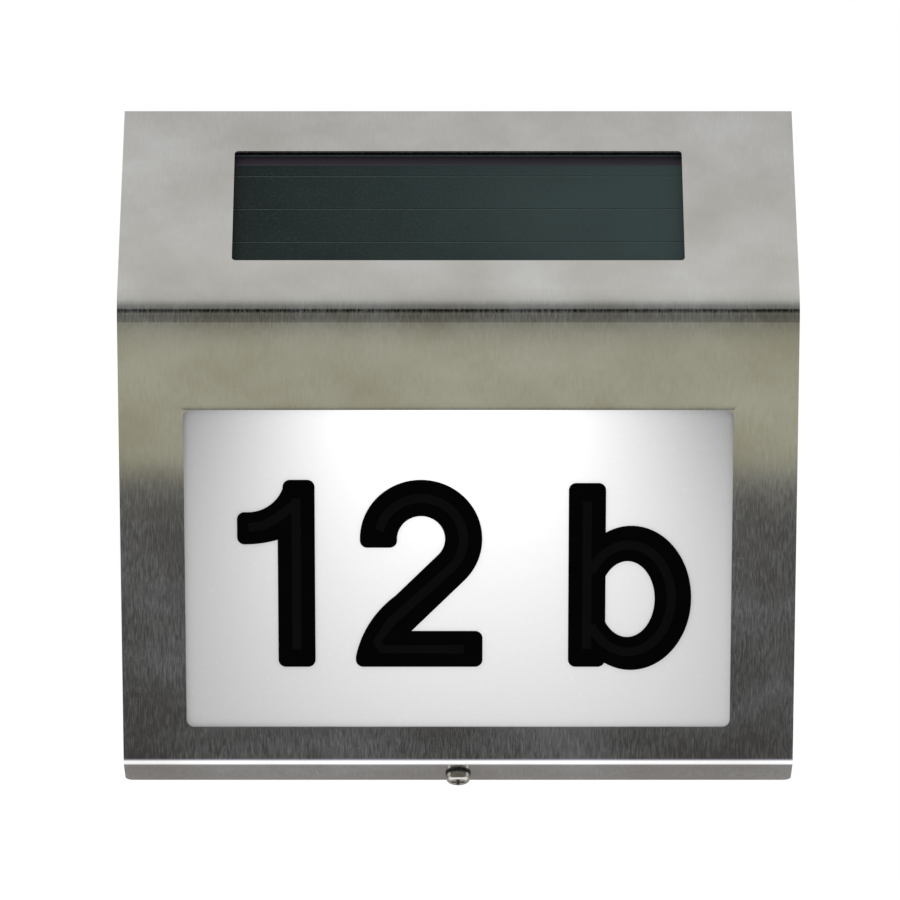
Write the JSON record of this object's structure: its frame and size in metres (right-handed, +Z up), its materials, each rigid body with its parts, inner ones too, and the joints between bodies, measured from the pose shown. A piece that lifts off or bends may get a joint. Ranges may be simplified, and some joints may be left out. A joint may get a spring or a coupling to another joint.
{
  "type": "solar house number light",
  "caption": "Wall-hung solar house number light: bent steel hood with roof panel and backlit number window, hooked over a wall box and locked by a bottom screw.",
  "frame": {"origin": "middle of the wall face of the wall box", "axes": "+Z up, +Y into the wall, front faces -Y"},
  "size_m": [0.18, 0.0456, 0.1821],
  "materials": {
    "hood_steel": "brushed stainless steel",
    "box_steel": "plain stainless steel",
    "stud_steel": "copper-flashed steel studs",
    "nut_steel": "zinc plated",
    "foam": "black foam",
    "carrier": "black laminate",
    "cells": "dark green-grey film",
    "box_plastic": "black moulded",
    "cover_plastic": "black moulded",
    "lid_plastic": "black moulded",
    "box_screw_steel": "zinc plated",
    "cell_sleeve": "green shrink sleeve",
    "contact_steel": "nickel plated",
    "spring_steel": "nickel plated",
    "laminate": "green solder mask",
    "chip_epoxy": "moulded epoxy",
    "coil_ferrite": "ferrite drum",
    "lamp_lens": "clear epoxy",
    "switch_case": "tinned case",
    "knob_plastic": "moulded",
    "wire_pvc": "insulated",
    "tape_white": "white foam tape",
    "opal": "opal acrylic, frosted",
    "figure_black": "black self-adhesive figures",
    "clinch_steel": "stainless",
    "seal_rubber": "black rubber",
    "screw_steel": "stainless"
  },
  "bodies": {
    "wall_box": {"wall_box": "box_steel"},
    "hood": {"hood": "hood_steel", "weld_studs": "stud_steel", "stud_nuts": "nut_steel", "solar_gasket": "foam", "solar_panel": "carrier", "solar_cells": "cells", "light_box": "box_plastic", "light_box_cover": "cover_plastic", "box_screws": "box_screw_steel", "battery_cell": "cell_sleeve", "plus_contact": "contact_steel", "battery_spring": "spring_steel", "circuit_board": "laminate", "drive_chip": "chip_epoxy", "boost_coil": "coil_ferrite", "led_left": "lamp_lens", "led_right": "lamp_lens", "switch_body": "switch_case", "panel_wires": "wire_pvc", "lamp_wires": "wire_pvc", "diffuser_tape": "tape_white", "diffuser": "opal", "number_1": "figure_black", "number_2": "figure_black", "letter_b": "figure_black", "clinch_nut": "clinch_steel"},
    "screw_washer": {"sealing_washer": "seal_rubber"},
    "hood_screw": {"hood_screw": "screw_steel"},
    "switch_knob": {"switch_knob": "knob_plastic"},
    "battery_lid": {"battery_lid": "lid_plastic"}
  },
  "joints": [
    {"name": "hood_swing", "type": "hinge", "parent": "wall_box", "child": "hood", "pos_m": [0, -0.0052, 0.0839], "axis": [-1, 0, 0], "range_deg": [0, 40]},
    {"name": "screw_travel", "type": "slide", "parent": "hood", "child": "screw_washer", "axis": [0, -0.4226, -0.9063], "range_m": [0, 0.0015]},
    {"name": "screw_turn", "type": "hinge", "parent": "screw_washer", "child": "hood_screw", "pos_m": [0, -0.0052, -0.08831], "axis": [0, -0.4226, -0.9063], "range_deg": [0, 1081]},
    {"name": "switch_slide", "type": "slide", "parent": "hood", "child": "switch_knob", "axis": [1, 0, 0], "range_m": [0, 0.002]},
    {"name": "lid_slide", "type": "slide", "parent": "hood", "child": "battery_lid", "axis": [1, 0, 0], "range_m": [0, 0.05]}
  ],
  "couplings": [
    {"joint": "screw_turn", "follows": "screw_travel", "rad_per_m": 12566}
  ]
}
